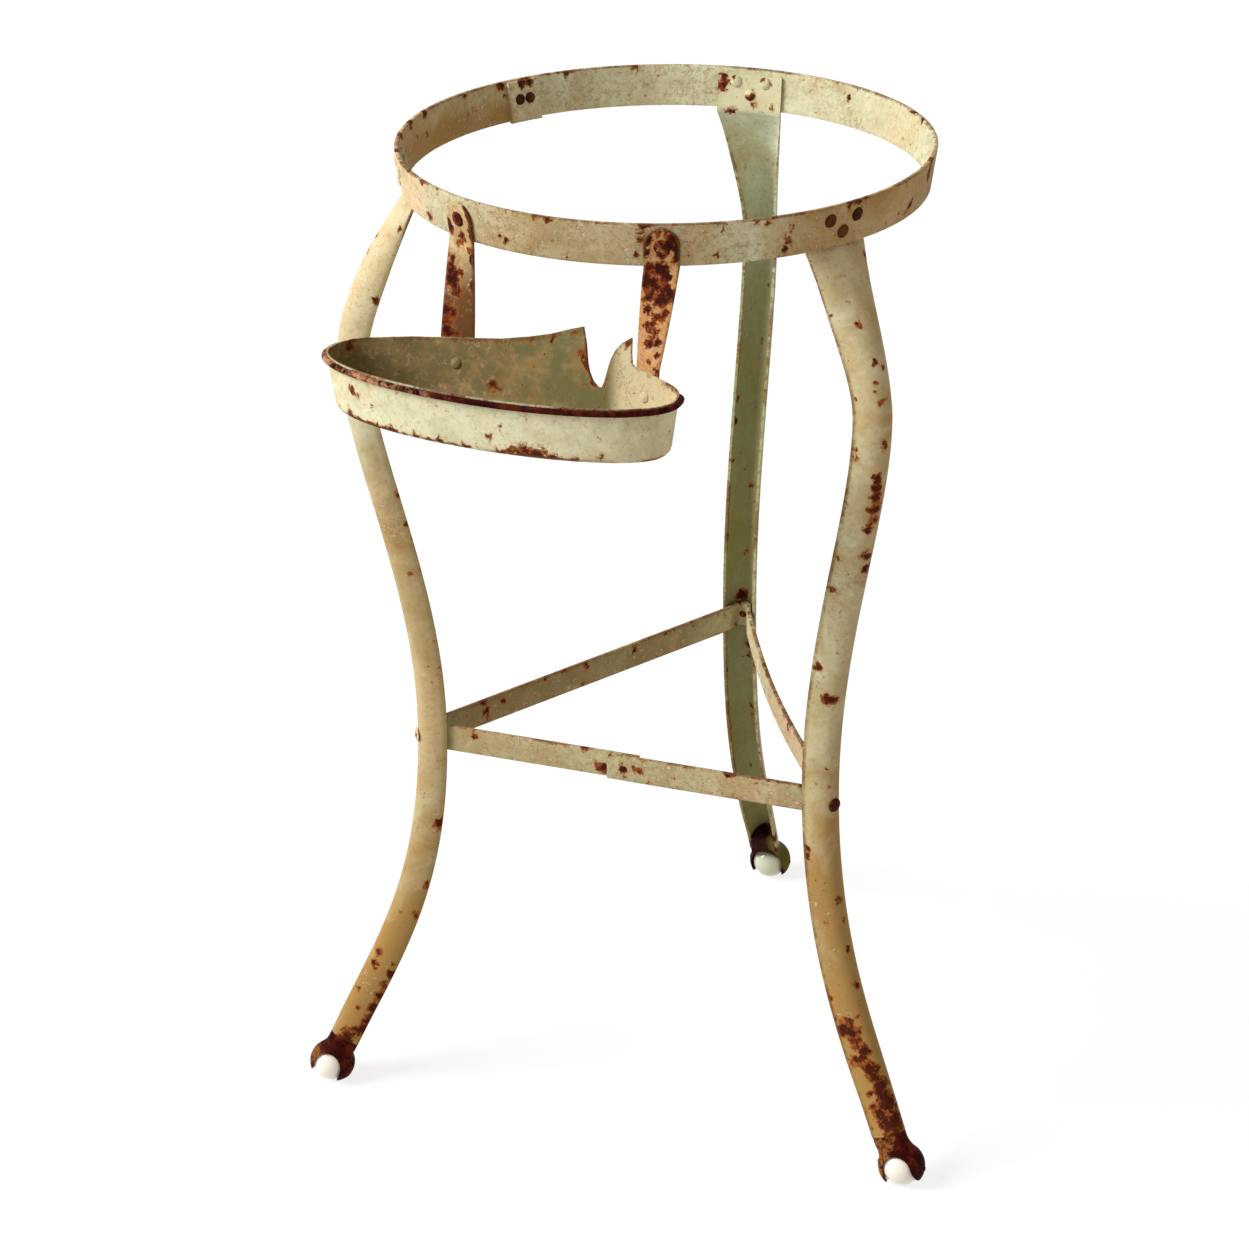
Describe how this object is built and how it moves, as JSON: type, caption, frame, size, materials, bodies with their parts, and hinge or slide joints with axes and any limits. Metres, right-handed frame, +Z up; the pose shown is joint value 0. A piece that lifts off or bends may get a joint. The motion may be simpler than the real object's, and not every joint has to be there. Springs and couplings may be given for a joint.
{
  "type": "wash basin stand",
  "caption": "Iron wash basin stand: a riveted hoop for the basin on curved pressed channel legs, with a bent brace band, a hung oval soap dish and rolling ball feet.",
  "frame": {"origin": "the hoop's axis at floor level, under the middle of the basin hoop", "axes": "+Z up, the rear leg stands towards +Y, the soap dish hangs at the front towards -Y, +X is to the viewer's right from the front"},
  "size_m": [0.4622, 0.5291, 0.695],
  "materials": {
    "paint": "old chipped sage and cream paint over iron",
    "worn_paint": "tan and olive worn paint with rust spots",
    "rusted_iron": "dark brown rust",
    "porcelain": "white glazed porcelain, opaque"
  },
  "bodies": {
    "stand": {"hoop": "paint", "hoop_lap_rivets": "rusted_iron", "leg_left": "paint", "leg_right": "paint", "leg_rear": "paint", "leg_left_rivets": "rusted_iron", "leg_right_rivets": "rusted_iron", "leg_rear_rivets": "rusted_iron", "stretcher_band": "worn_paint", "band_rivets": "rusted_iron", "ball_cup_left": "rusted_iron", "ball_cup_right": "rusted_iron", "ball_cup_rear": "rusted_iron", "axle_pin_left": "rusted_iron", "axle_pin_right": "rusted_iron", "axle_pin_rear": "rusted_iron", "hanger_left": "worn_paint", "hanger_right": "worn_paint", "hanger_rivets": "rusted_iron", "soap_dish": "paint", "dish_rim_wire": "rusted_iron", "dish_rivets": "rusted_iron"},
    "left_ball": {"ball_left": "porcelain"},
    "right_ball": {"ball_right": "porcelain"},
    "rear_ball": {"ball_rear": "porcelain"}
  },
  "joints": [
    {"name": "left_ball_roll", "type": "hinge", "parent": "stand", "child": "left_ball", "pos_m": [-0.21713, -0.1279, 0.014], "axis": [1, 0, 0], "continuous": true},
    {"name": "right_ball_roll", "type": "hinge", "parent": "stand", "child": "right_ball", "pos_m": [0.21131, -0.122, 0.014], "axis": [1, 0, 0], "continuous": true},
    {"name": "rear_ball_roll", "type": "hinge", "parent": "stand", "child": "rear_ball", "pos_m": [-0.00181, 0.25899, 0.014], "axis": [1, 0, 0], "continuous": true}
  ]
}
